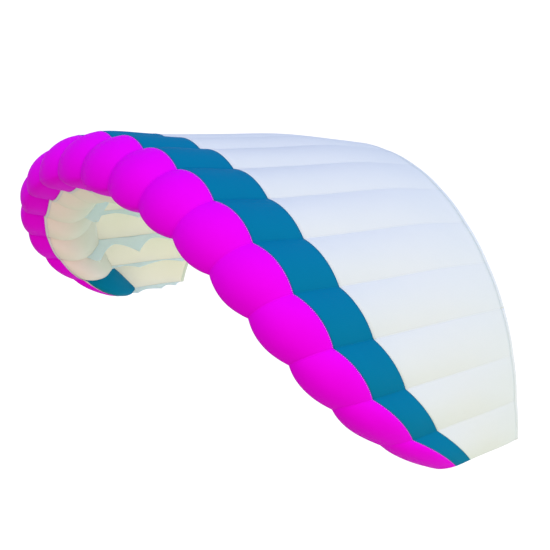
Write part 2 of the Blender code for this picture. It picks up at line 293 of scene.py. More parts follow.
def hold(obj, section):
    """Rides the middle body, or, outside the centre, has its placement baked into its mesh."""
    if section == "centre":
        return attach(obj, "centre")
    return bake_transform(obj)


def grid_faces(rows, cols, flip):
    """Quads of a grid stored column by column."""
    faces = []
    for c in range(cols - 1):
        for r in range(rows - 1):
            a, b = c * rows + r, (c + 1) * rows + r
            quad = (a, b, b + 1, a + 1)
            faces.append(quad[::-1] if flip else quad)
    return faces


def panel_grid(kind, first, last, rows, cols, f_span=None):
    """(points, uv, distance to the ribs) of a panel, with the pucker beside its seams."""
    low, high = f_span or KINDS[kind][2]
    f = np.linspace(low, high, rows)
    columns, spans = [], []
    reach = 0.0
    for cell in range(first, last):
        ts = np.linspace(0, 1, cols + 1)
        if cell > first:
            ts = ts[1:]
        width = cell_width(cell)
        for t in ts:
            points = surface(kind, cell, f, np.full(rows, t))
            columns.append(points)
            # A cell's cloth is longer than the straight line between its ribs.
            spans.append((reach + t * width * 1.045, cell, t, width))
        reach += width * 1.045
    grid = np.array(columns)  # column, row, xyz
    step = np.linalg.norm(np.diff(grid, axis=1), axis=2)
    along = np.concatenate([np.zeros((len(grid), 1)), np.cumsum(step, axis=1)], axis=1)
    across = np.array([s[0] for s in spans])
    du = np.gradient(grid, axis=0)
    dv = np.gradient(grid, axis=1)
    normal = np.cross(du, dv)
    normal /= np.maximum(np.linalg.norm(normal, axis=2, keepdims=True), 1e-12)
    lift = np.zeros(grid.shape[:2])
    for c, (u, cell, t, width) in enumerate(spans):
        side = min(t, 1 - t) * width
        near = (side / 0.016) * math.exp(1 - side / 0.016)
        for r in range(rows):
            v = along[c, r]
            end = min(v, along[c, -1] - v)
            rim = (end / 0.014) * math.exp(1 - end / 0.014)
            keep = min(1.0, end / 0.03) * min(1.0, side / 0.03)
            wave = noise.noise(Vector((v / 0.028, cell * 7.3 + (t > 0.5) * 3.1, side / 0.05)))
            fret = noise.noise(Vector((u / 0.022, 31.7 + cell, end / 0.05 + 5 * (v > 0.5))))
            broad = noise.noise(Vector((u / 0.11, v / 0.20, 11.0 + first)))
            lift[c, r] = (0.00055 * near * wave * min(1.0, end / 0.012)
                          + 0.00045 * rim * fret * min(1.0, side / 0.012)
                          + 0.0009 * broad * keep)
    grid = grid + normal * lift[..., None]
    uv = np.stack([np.broadcast_to(across[:, None], along.shape), along], axis=2)
    side = np.array([min(t, 1 - t) * width for _, _, t, width in spans])
    seam = np.stack([np.broadcast_to(side[:, None], along.shape), along], axis=2)
    return grid, uv, seam


PIECES = []
FLAT_SIZES = {}


def flat_size(kind, first, last):
    """(width, length, area) of the cut that the billowed panel is sewn from."""
    f = np.linspace(*KINDS[kind][2], 24)
    width = area = length = 0.0
    for cell in range(first, last):
        t = np.linspace(0, 1, 13)
        p = surface(kind, cell, f[:, None], t[None, :])
        across = np.linalg.norm(np.diff(p, axis=1), axis=2).sum(1)
        along = np.linalg.norm(np.diff(p, axis=0), axis=2).sum(0)
        width += float(across.max())
        length = max(length, float(along.max()))
        area += float(across.mean() * along.mean())
    return width, length, area


def sheet_piece(name, kind, section, first, last, rows, cols, mats, node, slot_name,
                flip, thickness=CLOTH):
    """A panel of cloth over some cells: billowed, puckered at its seams, given a thickness."""
    grid, uv, seam = panel_grid(kind, first, last, rows, cols)
    for end, k in ((0, first), (-1, last)):  # sewn edges stop just short of the seam's plane
        inward = 1 if end == 0 else -1
        direction = grid[end + inward] - grid[end]
        direction /= np.linalg.norm(direction, axis=1, keepdims=True)
        grid[end] += direction * JOIN
    for end in (0, -1):
        inward = 1 if end == 0 else -1
        direction = grid[:, end + inward] - grid[:, end]
        direction /= np.linalg.norm(direction, axis=1, keepdims=True)
        grid[:, end] += direction * JOIN
    count, rows_n = grid.shape[:2]
    obj = make_mesh(name, grid.reshape(-1, 3), grid_faces(rows_n, count, flip),
                    uv.reshape(-1, 2), mats, seam_uvs=seam.reshape(-1, 2))
    ends = np.zeros(len(obj.data.edges) * 2, int)
    obj.data.edges.foreach_get("vertices", ends)
    column = ends.reshape(-1, 2) // rows_n
    crease = obj.data.attributes.new("sharp_edge", "BOOLEAN", "EDGE")
    crease.data.foreach_set("value", (column[:, 0] == column[:, 1]) & (column[:, 0] % cols == 0))
    solid = obj.modifiers.new("cloth", "SOLIDIFY")
    solid.thickness = thickness
    solid.offset = -1.0
    solid.use_quality_normals = True
    if len(mats) > 1:
        solid.material_offset = 1
    hold(obj, section)
    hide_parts(node)
    width, length, area = flat_size(kind, first, last)
    FLAT_SIZES[name] = (round(width, 3), round(length, 3), round(area, 4))
    PIECES.append(obj)
    return obj


# ------------------------------------------------------------------ materials
class Nodes:
    def __init__(self, name):
        self.material = bpy.data.materials.new(name)
        self.material.use_nodes = True
        self.tree = self.material.node_tree
        self.tree.nodes.clear()
        self.out = self.add("ShaderNodeOutputMaterial")

    def add(self, kind, **settings):
        node = self.tree.nodes.new(kind)
        for key, value in settings.items():
            setattr(node, key, value)
        return node

    def link(self, a, b):
        self.tree.links.new(a, b)

    def value(self, op, a, b=None, c=None, clamp=False):
        node = self.add("ShaderNodeMath", operation=op, use_clamp=clamp)
        for socket, x in zip(node.inputs, (a, b, c)):
            if x is None:
                continue
            if isinstance(x, (int, float)):
                socket.default_value = x
            else:
                self.link(x, socket)
        return node.outputs[0]

    def mix(self, factor, a, b, blend="MIX"):
        node = self.add("ShaderNodeMix", data_type="RGBA", blend_type=blend)
        for socket, x in ((node.inputs[0], factor), (node.inputs[6], a), (node.inputs[7], b)):
            if isinstance(x, (int, float)):
                socket.default_value = x
            elif isinstance(x, (tuple, list)):
                socket.default_value = (*x[:3], 1.0)
            else:
                self.link(x, socket)
        return node.outputs[2]

    def noise(self, vector, scale, detail=2.0, rough=0.5):
        node = self.add("ShaderNodeTexNoise")
        node.inputs["Scale"].default_value = scale
        node.inputs["Detail"].default_value = detail
        node.inputs["Roughness"].default_value = rough
        self.link(vector, node.inputs["Vector"])
        return node.outputs["Fac"]


def cloth_material(name, colour, dark, light, rough=0.52, clear=0.0, specular=0.10,
                   sheen=0.0, painted_light_fades=(), grid=0.10, sewn=None):
    """Coated ripstop: fine weave, a square grid of thicker threads, soft mottling.

    clear is the share of light let through.  Each of painted_light_fades is (colour, start, end)
    in metres from the panel's first seam: a tint of painted light, full at the start and gone
    at the end.  sewn is the colour of the stitches beside each rib.
    """
    n = Nodes(name)
    uv = n.add("ShaderNodeUVMap", uv_map="cloth").outputs["UV"]
    place = n.add("ShaderNodeTexCoord").outputs["Object"]
    split = n.add("ShaderNodeSeparateXYZ")
    n.link(uv, split.inputs[0])
    lines = []
    for axis in (0, 1):
        scaled = n.value("MULTIPLY", split.outputs[axis], 1 / 0.0052)
        part = n.value("FRACT", scaled)
        away = n.value("ABSOLUTE", n.value("SUBTRACT", part, 0.5))
        lines.append(n.value("LESS_THAN", away, 0.06))
    threads = n.value("MAXIMUM", lines[0], lines[1])
    weave = []
    for axis in (0, 1):
        wave = n.value("SINE", n.value("MULTIPLY", split.outputs[axis], 2 * math.pi / 0.00042))
        weave.append(wave)
    cross = n.value("MULTIPLY", weave[0], weave[1])
    broad = n.noise(place, 3.2, 3.0)
    mottle = n.noise(place, 26.0, 4.0, 0.6)
    shade = n.value("ADD", n.value("MULTIPLY", broad, 0.75), n.value("MULTIPLY", mottle, 0.25))
    base = n.mix(n.value("MULTIPLY_ADD", n.value("SUBTRACT", shade, 0.5), 2.4, 0.5, clamp=True),
                 dark, light)
    base = n.mix(0.5, base, colour)
    base = n.mix(n.value("MULTIPLY", threads, grid), base, tuple(min(1, c * 1.1 + 0.01) for c in colour))
    # Each tint is painted light laid over the cloth's colour, eased in over its span along the panel.
    for tint, full, gone in painted_light_fades:
        away = n.value("DIVIDE", n.value("SUBTRACT", split.outputs[1], full), gone - full,
                       clamp=True)
        ease = n.value("MULTIPLY", n.value("MULTIPLY", away, away),
                       n.value("MULTIPLY_ADD", away, -2.0, 3.0))
        base = n.mix(n.value("SUBTRACT", 1.0, ease), base, tint)
    dash = None
    if sewn:
        beside = n.add("ShaderNodeSeparateXYZ")
        n.link(n.add("ShaderNodeUVMap", uv_map="seam").outputs["UV"], beside.inputs[0])
        off = n.value("ABSOLUTE", n.value("SUBTRACT", beside.outputs[0], 0.0034))
        beat = n.value("FRACT", n.value("MULTIPLY", beside.outputs[1], 1 / 0.0042))
        dash = n.value("MULTIPLY", n.value("LESS_THAN", off, 0.00045),
                       n.value("LESS_THAN", beat, 0.62))
        base = n.mix(n.value("MULTIPLY", dash, 0.8), base, sewn)
    shader = n.add("ShaderNodeBsdfPrincipled")
    n.link(base, shader.inputs["Base Color"])
    n.link(n.value("MULTIPLY_ADD", mottle, 0.16, rough - 0.08), shader.inputs["Roughness"])
    shader.inputs["Specular IOR Level"].default_value = specular
    shader.inputs["Sheen Weight"].default_value = sheen
    shader.inputs["Sheen Roughness"].default_value = 0.45
    height = n.value("ADD", n.value("MULTIPLY", threads, 0.6), n.value("MULTIPLY", cross, 0.2))
    height = n.value("ADD", height, n.value("MULTIPLY", mottle, 1.2))
    if dash:
        height = n.value("ADD", height, n.value("MULTIPLY", dash, 1.5))
    bump = n.add("ShaderNodeBump")
    bump.inputs["Strength"].default_value = 0.25
    bump.inputs["Distance"].default_value = 0.0002
    n.link(height, bump.inputs["Height"])
    n.link(bump.outputs[0], shader.inputs["Normal"])
    if clear:
        through = n.add("ShaderNodeBsdfTranslucent")
        n.link(base, through.inputs["Color"])
        both = n.add("ShaderNodeMixShader")
        both.inputs[0].default_value = clear
        n.link(shader.outputs[0], both.inputs[1])
        n.link(through.outputs[0], both.inputs[2])
        n.link(both.outputs[0], n.out.inputs["Surface"])
    else:
        n.link(shader.outputs[0], n.out.inputs["Surface"])
    return n.material


def thread_material(name, colour):
    """Twisted thread: fine slanted ridges and a little fuzz."""
    n = Nodes(name)
    place = n.add("ShaderNodeTexCoord").outputs["Object"]
    fuzz = n.noise(place, 900.0, 3.0, 0.7)
    patch = n.noise(place, 40.0, 2.0)
    base = n.mix(n.value("MULTIPLY", patch, 0.35), colour, tuple(c * 0.82 for c in colour))
    shader = n.add("ShaderNodeBsdfPrincipled")
    n.link(base, shader.inputs["Base Color"])
    n.link(n.value("MULTIPLY_ADD", fuzz, 0.2, 0.45), shader.inputs["Roughness"])
    shader.inputs["Specular IOR Level"].default_value = 0.2
    twist = n.add("ShaderNodeTexWave", bands_direction="DIAGONAL")
    twist.inputs["Scale"].default_value = 700.0
    twist.inputs["Distortion"].default_value = 0.6
    n.link(place, twist.inputs["Vector"])
    bump = n.add("ShaderNodeBump")
    bump.inputs["Strength"].default_value = 0.4
    bump.inputs["Distance"].default_value = 0.0002
    n.link(n.value("ADD", twist.outputs["Fac"], n.value("MULTIPLY", fuzz, 0.6)),
           bump.inputs["Height"])
    n.link(bump.outputs[0], shader.inputs["Normal"])
    n.link(shader.outputs[0], n.out.inputs["Surface"])
    return n.material


def rod_material():
    """Drawn nylon rod: cloudy, with fine draw lines."""
    n = Nodes("rod_nylon")
    place = n.add("ShaderNodeTexCoord").outputs["Object"]
    cloud = n.noise(place, 60.0, 3.0)
    base = n.mix(cloud, (0.74, 0.74, 0.69), (0.84, 0.84, 0.80))
    shader = n.add("ShaderNodeBsdfPrincipled")
    n.link(base, shader.inputs["Base Color"])
    n.link(n.value("MULTIPLY_ADD", cloud, 0.15, 0.30), shader.inputs["Roughness"])
    bump = n.add("ShaderNodeBump")
    bump.inputs["Strength"].default_value = 0.2
    bump.inputs["Distance"].default_value = 0.0001
    n.link(n.noise(place, 1200.0, 2.0), bump.inputs["Height"])
    n.link(bump.outputs[0], shader.inputs["Normal"])
    n.link(shader.outputs[0], n.out.inputs["Surface"])
    return n.material


MAGENTA, BLUE = (0.79, 0.0, 0.775), (0.0, 0.182, 0.320)
NOSE = cloth_material("nose_cloth", MAGENTA, (0.75, 0.0, 0.735), (0.83, 0.0, 0.815),
                      clear=0.05, specular=0.02, sewn=(0.58, 0.0, 0.62))
BAND = cloth_material("band_cloth", BLUE, (0.0, 0.170, 0.303), (0.0, 0.194, 0.337),
                      clear=0.08, specular=0.02, sewn=(0.0, 0.12, 0.25))
END_CLOTH = cloth_material("end_cell_cloth", (0.0, 0.187, 0.355), (0.0, 0.176, 0.338), (0.0, 0.198, 0.372),
                           clear=0.08, specular=0.02, sewn=(0.0, 0.12, 0.25))
# The main cloth's fade is painted light: a brighter bluish strip within about 12 mm behind the band seam
# lifts the shade in the seam's groove.
MAIN = cloth_material("main_cloth", (0.745, 0.79, 0.735), (0.725, 0.775, 0.725), (0.765, 0.805, 0.745),
                      clear=0.12, specular=0.04, grid=0.25,
                      painted_light_fades=(((0.72, 0.835, 0.81), 0.002, 0.012),), sewn=(0.61, 0.645, 0.63))
# The inside face of the same white cloth, tinted cream: painted warm light from below, not a colour of the
# cloth.
MAIN_IN_PAINTED_WARM_LIGHT = cloth_material("main_cloth_inside", (0.92, 0.89, 0.81), (0.90, 0.87, 0.79),
                         (0.94, 0.91, 0.83), clear=0.05, specular=0.04, grid=0.25,
                         sewn=(0.71, 0.68, 0.61))
# The lower cloth's fades are painted light: a pink cast near the nose seam for light passed on by the
# magenta nose, and a paler rear where the skin's rear face turns toward the light.
LOWER_CLOTH = cloth_material("lower_cloth", (0.73, 0.72, 0.64), (0.71, 0.70, 0.62),
                             (0.75, 0.74, 0.66), clear=0.10, specular=0.04, grid=0.2,
                             painted_light_fades=(((0.93, 0.76, 0.79), 0.02, 0.20), ((0.87, 0.87, 0.84), 0.37, 0.27)),
                             sewn=(0.66, 0.66, 0.60))
RIB_CLOTH = cloth_material("rib_cloth", (0.80, 0.92, 0.99), (0.78, 0.91, 0.98),
                           (0.82, 0.93, 1.0), clear=0.10, specular=0.04, grid=0.3)
RIB_TAPE = cloth_material("rib_tape", (0.78, 0.91, 0.98), (0.76, 0.89, 0.97),
                          (0.81, 0.92, 0.99), clear=0.10, specular=0.06, grid=0.05)
HEM_CLOTH = cloth_material("hem_cloth", (0.77, 0.82, 0.765), (0.75, 0.805, 0.755),
                           (0.79, 0.835, 0.775), clear=0.12, specular=0.04, grid=0.05)
SEAM_TAPE = cloth_material("seam_tape_cloth", (0.83, 0.72, 0.88), (0.79, 0.68, 0.85),
                           (0.87, 0.76, 0.91), clear=0.15, specular=0.04, grid=0.0)
THREAD_PALE = thread_material("thread_pale", (0.90, 0.50, 0.98))
THREAD_VIOLET = thread_material("thread_violet", (0.07, 0.02, 0.34))
THREAD_BLUE = thread_material("thread_blue", (0.0, 0.09, 0.20))
THREAD_GREY = thread_material("thread_grey", (0.48, 0.50, 0.52))
THREAD_WHITE = thread_material("thread_white", (0.90, 0.88, 0.94))
WEBBING = thread_material("webbing", (0.86, 0.93, 0.94))
ROD = rod_material()

# --------------------------------------------------------------------- sheets
SLOTS = {"nose": "nose_fabric", "band": "band_fabric", "main": "main_fabric",
         "hem": "hem_tape", "lower": "lower_fabric"}
END_CELLS = {"left_tip": 0, "right_tip": 16}  # closed below with the band's blue cloth
for section, (first, last) in SECTIONS.items():
    low = (first + (section == "left_tip"), last - (section == "right_tip"))
    sheet_piece(f"{section}_nose_cloth", "nose", section, first, last, 40, 22,
                [NOSE], f"{section}_nose_panel", "nose_fabric", flip=True)
    sheet_piece(f"{section}_band_cloth", "band", section, first, last, 18, 22,
                [BAND], f"{section}_upper_band", "band_fabric", flip=True)
    sheet_piece(f"{section}_main_cloth", "main", section, first, last, 40, 22,
                [MAIN, MAIN_IN_PAINTED_WARM_LIGHT], f"{section}_main_panel", "main_fabric", flip=True)
    sheet_piece(f"{section}_lower_cloth", "lower", section, *low, 44, 22,
                [LOWER_CLOTH], f"{section}_lower_skin", "lower_fabric", flip=False)
    if section in END_CELLS:
        cell = END_CELLS[section]
        sheet_piece(f"{section}_end_cell_cloth", "lower", section, cell, cell + 1, 44, 22,
                    [END_CLOTH], f"{section}_lower_skin", "band_fabric", flip=False)


# ------------------------------------------------------------------------ hem
def swept(name, centres, sides, ups, outline, mats, closed_ends=True, uv_scale=1.0):
    """A closed outline carried along a path, capped at both ends."""
    verts, uvs, faces = [], [], []
    count = len(outline)
    length = 0.0
    for i, (c, a, b) in enumerate(zip(centres, sides, ups)):
        if i:
            length += float(np.linalg.norm(c - centres[i - 1]))
        for j, (x, y) in enumerate(outline):
            verts.append(c + a * x + b * y)
            uvs.append((length * uv_scale, j * 0.002))
    for i in range(len(centres) - 1):
        for j in range(count):
            k = (j + 1) % count
            faces.append((i * count + j, i * count + k, (i + 1) * count + k, (i + 1) * count + j))
    if closed_ends:
        faces.append(tuple(range(count))[::-1])
        faces.append(tuple((len(centres) - 1) * count + j for j in range(count)))
    return verts, uvs, faces


def row_frames(kind, first, last, f, per_cell=24, sink=0.0):
    """Points, span direction, chord direction and normal along a row of a panel."""
    points, spans, chords, ups = [], [], [], []
    low, high = KINDS[kind][2]
    for cell in range(first, last):
        ts = np.linspace(0, 1, per_cell + 1)
        if cell > first:
            ts = ts[1:]
        for t in ts:
            e = 0.004
            p = surface(kind, cell, f, t)
            ta, tb = max(t - e, 0), min(t + e, 1)
            s = surface(kind, cell, f, tb) - surface(kind, cell, f, ta)
            fa, fb = max(f - e, low), min(f + e, high)
            c = surface(kind, cell, fb, t) - surface(kind, cell, fa, t)
            s, c = s / np.linalg.norm(s), c / np.linalg.norm(c)
            n = np.cross(c, s)
            n /= np.linalg.norm(n)
            points.append(p - n * sink)
            spans.append(s)
            chords.append(c)
            ups.append(n)
    return map(np.array, (points, spans, chords, ups))


for section, (first, last) in SECTIONS.items():
    p, s, c, n = row_frames("hem", first, last, 0.0)
    q, *_ = row_frames("hem", first, last, 1.0)
    # Folded tape: flat faces, a round fold at the rear and an open front edge.
    verts, uvs, faces = [], [], []
    half = 0.0007
    rows = []
    for i in range(len(p)):
        back = q[i] - p[i]
        width = np.linalg.norm(back)
        back = back / width
        up = np.cross(back, s[i])
        up /= np.linalg.norm(up)
        if up @ n[i] < 0:
            up = -up
        ring = []
        for x, y in ((-0.0004, half * 0.5), (0.0012, half), (0.004, half), (0.008, half),
                     (width - 0.0022, half), (width - 0.0008, half * 0.8), (width, 0.0),
                     (width - 0.0008, -half * 0.8), (width - 0.0022, -half), (0.008, -half),
                     (0.004, -half), (0.0012, -half), (-0.0004, -half * 0.5)):
            ripple = 0.00025 * noise.noise(Vector((i * 0.9, x * 300, 3.0 + first)))
            ring.append(p[i] + back * x + up * (y - 0.0004 + ripple))
        rows.append(ring)
    count = len(rows[0])
    reach = 0.0
    for i, ring in enumerate(rows):
        if i:
            reach += float(np.linalg.norm(p[i] - p[i - 1]))
        for j, v in enumerate(ring):
            verts.append(v)
            uvs.append((reach, 0.0022 * min(j, count - j)))
    for i in range(len(rows) - 1):
        for j in range(count):
            k = (j + 1) % count
            faces.append((i * count + j, (i + 1) * count + j, (i + 1) * count + k, i * count + k))
    faces.append(tuple(range(count)))
    faces.append(tuple((len(rows) - 1) * count + j for j in range(count))[::-1])
    hem = make_mesh(f"{section}_hem_tape", verts, faces, uvs, [HEM_CLOTH])
    hold(hem, section)
    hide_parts(f"{section}_rear_hem")


# -------------------------------------------------------------------- stitches
def stitches(name, section, lines, period, dash, radius, material,
             lift=0.0002, phase=0.5):
    """Rows of thread dashes along paths, each dash a small closed lens."""
    verts, faces = [], []
    for points, ups in lines:
        step = np.linalg.norm(np.diff(points, axis=0), axis=1)
        along = np.concatenate([[0], np.cumsum(step)])
        count = int((along[-1] - 0.004) / period)
        for i in range(count):
            middle = 0.002 + (i + phase) * period
            ends = []
            for d in (-dash / 2, -dash / 4, 0, dash / 4, dash / 2):
                ends.append(np.array([np.interp(middle + d, along, points[:, a]) for a in range(3)]))
            up = np.array([np.interp(middle, along, ups[:, a]) for a in range(3)])
            up /= np.linalg.norm(up)
            run = ends[-1] - ends[0]
            run /= np.linalg.norm(run)
            side = np.cross(run, up)
            base = len(verts)
            verts.append(ends[0] + up * (lift * 0.2))
            for k, share in ((1, 0.8), (2, 1.0), (3, 0.8)):
                for j in range(6):
                    a = j * math.pi / 3
                    verts.append(ends[k] + side * (math.cos(a) * radius * share)
                                 + up * (lift + math.sin(a) * radius * share * 0.6))
            verts.append(ends[-1] + up * (lift * 0.2))
            tip = base + 19
            for j in range(6):
                k = (j + 1) % 6
                faces.append((base, base + 1 + k, base + 1 + j))
                for ring in (0, 1):
                    a = base + 1 + ring * 6
                    faces.append((a + j, a + k, a + 6 + k, a + 6 + j))
                faces.append((base + 13 + j, base + 13 + k, tip))
    obj = make_mesh(name, verts, faces, None, [material])
    hold(obj, section)
    return obj


def seam_line(kind, first, last, f):
    p, s, c, n = row_frames(kind, first, last, f, per_cell=30)
    return p, n


def seam_tape(section, first, last):
    """A narrow tape laid over the seam of nose and lower skin, with a pleat at each rib."""
    strip, uvs, outs, reach, before = [], [], [], 0.0, None
    for cell in range(first, last):
        ts = np.linspace(0, 1, 31)
        if cell > first:
            ts = ts[1:]
        width = cell_width(cell)
        for t in ts:
            e = 0.004
            here = surface("lower", cell, 0.0, t)
            down = surface("lower", cell, 0.02, t) - here
            run = surface("lower", cell, 0.01, min(t + e, 1)) - surface("lower", cell, 0.01, max(t - e, 0))
            run /= np.linalg.norm(run)
            out = -np.cross(down, run)
            out /= np.linalg.norm(out)
            side = min(t, 1 - t) * width
            wide = 0.0090 + 0.0040 * math.exp(-(side / 0.009) ** 2)
            share = 0.02 * wide / np.linalg.norm(down)
            ripple = 0.0005 * noise.noise(Vector((cell * 3.7 + t * 9.0, 5.0, 1.0)))
            pleat = 0.0030 * math.exp(-(side / 0.006) ** 2)
            if before is not None:
                reach += float(np.linalg.norm(here - before))
            before = here
            outs.append(out)
            for j, (part, lift) in enumerate(((-0.25, 0.0009), (0.2, 0.0011), (0.6, 0.0016),
                                              (1.0, 0.0022))):
                if part < 0:
                    down_nose = surface("nose", cell, -0.985, t) - here
                    p = here + down_nose / np.linalg.norm(down_nose) * (wide * -part)
                else:
                    p = surface("lower", cell, share * part, t)
                strip.append(p + out * (lift + (ripple + pleat) * max(part, 0.0)))
                uvs.append((reach, 0.0016 * j))
    count = len(strip) // 4
    tape = make_mesh(f"{section}_seam_tape", strip, grid_faces(4, count, False), uvs, [SEAM_TAPE])
    solid = tape.modifiers.new("cloth", "SOLIDIFY")
    solid.thickness = 0.0004
    solid.offset = 0.0
    hold(tape, section)
    points = np.array(strip).reshape(count, 4, 3)
    across = float(np.linalg.norm(np.diff(points, axis=1), axis=2).sum(1).mean())
    FLAT_SIZES[tape.name] = (round(reach, 3), round(across, 4), round(reach * across, 4))
    return points[:, 1:3].mean(1), np.array(outs)


for section, (first, last) in SECTIONS.items():
    crest, n = seam_line("nose", first, last, 0.992)
    stitches(f"{section}_crest_stitches", section, [(crest, n)], 0.0070, 0.0032, 0.0009,
             THREAD_PALE, phase=0.25)
    edge, n = seam_line("band", first, last, 0.007)
    stitches(f"{section}_crest_overlock", section, [(edge, n)], 0.0070, 0.0046, 0.0014,
             THREAD_VIOLET, phase=0.75)
    a, n1 = seam_line("band", first, last, 0.993)
    stitches(f"{section}_band_stitches", section, [(a, n1)], 0.0050, 0.0040, 0.0006,
             THREAD_BLUE)
    h1, n3 = seam_line("hem", first, last, 0.22)
    h2, n4 = seam_line("hem", first, last, 0.80)
    stitches(f"{section}_hem_stitches", section, [(h1, n3), (h2, n4)], 0.0060, 0.0034,
             0.0005, THREAD_GREY, lift=0.0004)
    line, n5 = seam_tape(section, first, last)
    stitches(f"{section}_tape_stitches", section, [(line, n5)], 0.0060, 0.0044, 0.0008,
             THREAD_WHITE, lift=0.0003)


# ------------------------------------------------------------------------ ribs
def rib_shift(k):
    if k in (0, 3, 6):
        return -0.0006
    if k in (17, 14, 11):
        return 0.0006
    return 0.0


def rib_kind(k):
    if k in (0, CELLS):
        return "end"
    return "line" if k in LINE_RIBS else "plain"


def rib_edges(k):
    """(top, bottom, free edge, last x, first free x) of a rib in metres from the nose back."""
    rib, kind = RIBS[k], rib_kind(k)
    c = rib.chord
    over = []
    f = np.linspace(SLOT_ROWS[kind] / 7, 0, 60)
    u, h = lower_curve(rib, f)
    over += list(zip(u, h))
    f = np.linspace(-1, 1, 80)
    u, h = nose_curve(rib, f)
    over += list(zip(u, h))[1:]
    f = np.linspace(0, 1, 24)
    u, h = band_curve(rib, f)
    over += list(zip(u, h))[1:]
    f = np.linspace(0, 1, 60)
    u, h = main_curve(rib, f)
    over += list(zip(u, h))[1:]
    line = np.array(over) * c
    d = np.gradient(line, axis=0)
    d /= np.linalg.norm(d, axis=1, keepdims=True)
    line = line + np.stack([d[:, 1], -d[:, 0]], axis=1) * DROP
    tip = int(np.argmin(line[:, 0]))
    top, bottom = line[tip:], line[:tip + 1][::-1]
    stop = c - HEM_WIDTH - 0.004

    def highest(x):
        return float(np.interp(x, top[:, 0], top[:, 1])) - RIB_FOOT

    tips, arches = {"line": (LINE_TIPS, LINE_ARCHES), "end": (END_TIPS, END_ARCHES),
                    "plain": (PLAIN_TIPS, PLAIN_ARCHES)}[kind]
    if kind == "plain":
        tips = [(u, float(top_height(rib, u)) - d, w) for u, d, w in tips]
        arches = [(u, float(top_height(rib, u)) - d) for u, d in arches]
    start = (float(bottom[-1, 0]) + 0.006 * c, float(bottom[-1, 1]))
    free, before = [start], None
    for (tip_u, tip_h, half), (top_u, top_h) in zip(tips, arches):
        x, y = tip_u * c, tip_h * c
        steps = np.linspace(0, 1, 16)
        if before:
            for g in steps[1:-1]:
                free.append((before[0] + (x - half - before[0]) * g,
                             before[1] + (y - before[1]) * g**ARCH_POWER))
        free += [(x - half, y), (x - half * 0.5, y - 0.0012), (x, y - 0.0016),
                 (x + half * 0.5, y - 0.0012), (x + half, y)]
        peak = (top_u * c, min(top_h * c, highest(top_u * c)))
        for g in steps[::-1][1:]:
            free.append((peak[0] + (x + half - peak[0]) * g,
                         peak[1] + (y - peak[1]) * g**ARCH_POWER))
        before = peak
    free.append((stop, float(np.interp(stop, top[:, 0], top[:, 1])) - RIB_FOOT * 0.6))
    return top, bottom, np.array(free), stop, start[0]


def rib_place(rib, shift, x, y, z=0.0):
    return rib.nose + np.array((0.0, 1.0, 0.0)) * x + rib.out * y + rib.span * (shift + z)


def body_of_rib(k):
    if k < 6:
        return "left_tip" if k < 3 else "left_mid"
    if k > 11:
        return "right_tip" if k > 14 else "right_mid"
    return "centre"


